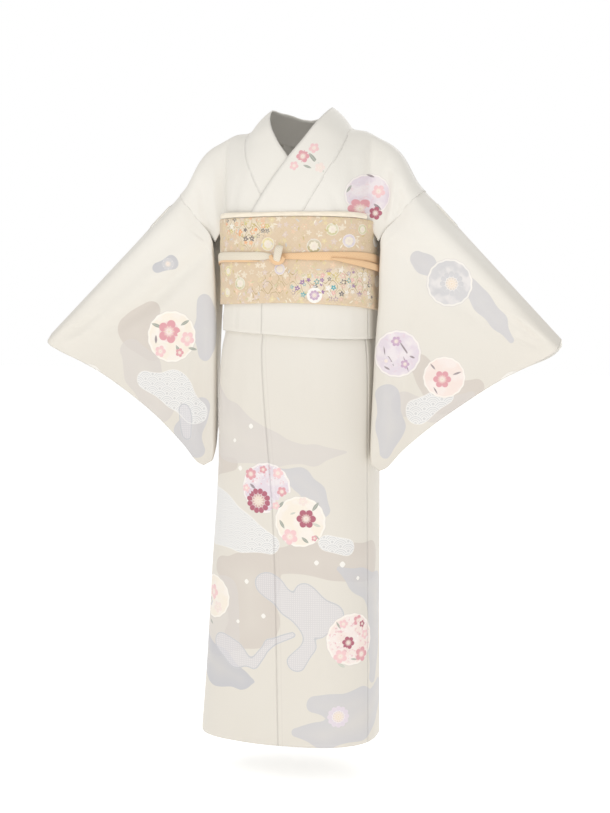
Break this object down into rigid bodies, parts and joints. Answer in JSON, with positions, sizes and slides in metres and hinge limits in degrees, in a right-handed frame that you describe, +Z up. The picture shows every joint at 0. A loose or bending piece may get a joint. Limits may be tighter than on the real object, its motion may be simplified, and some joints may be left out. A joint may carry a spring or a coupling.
{
  "type": "worn homongi kimono with obi set",
  "caption": "Pale silk homongi kimono in its worn, hollow shape, with a brocade obi tied in a drum at the back, a sash cloth and a flat cord.",
  "frame": {"origin": "on the centre line at the neck, level with the shoulder line where the collar crosses it", "axes": "+X to the wearer's left, +Y to the wearer's back, +Z up"},
  "size_m": [1.044, 0.3658, 1.2553],
  "materials": {
    "silk": "satin",
    "brocade": "satin",
    "sash": "matte",
    "cord": "satin"
  },
  "bodies": {
    "root": {"bodice_front_left": "silk", "bodice_front_right": "silk", "bodice_back_left": "silk", "bodice_back_right": "silk", "collar_left": "silk", "collar_right": "silk", "tuck_front_right": "silk", "tuck_overlap_left": "silk", "tuck_front_left": "silk", "tuck_back_left": "silk", "tuck_back_right": "silk", "skirt_front_right": "silk", "skirt_overlap_right": "silk", "skirt_overlap_left": "silk", "skirt_front_left": "silk", "skirt_back_left": "silk", "skirt_back_right": "silk", "sleeve_left": "silk", "sleeve_right": "silk", "belt_first_turn": "brocade", "belt_second_turn": "brocade", "belt_drum": "brocade", "belt_tail": "brocade", "belt_hand": "brocade", "sash_front": "sash", "sash_back": "sash", "sash_pillow": "sash", "cord_band": "cord", "cord_end": "cord", "cord_knot": "cord", "cord_loop": "cord"}
  },
  "joints": []
}
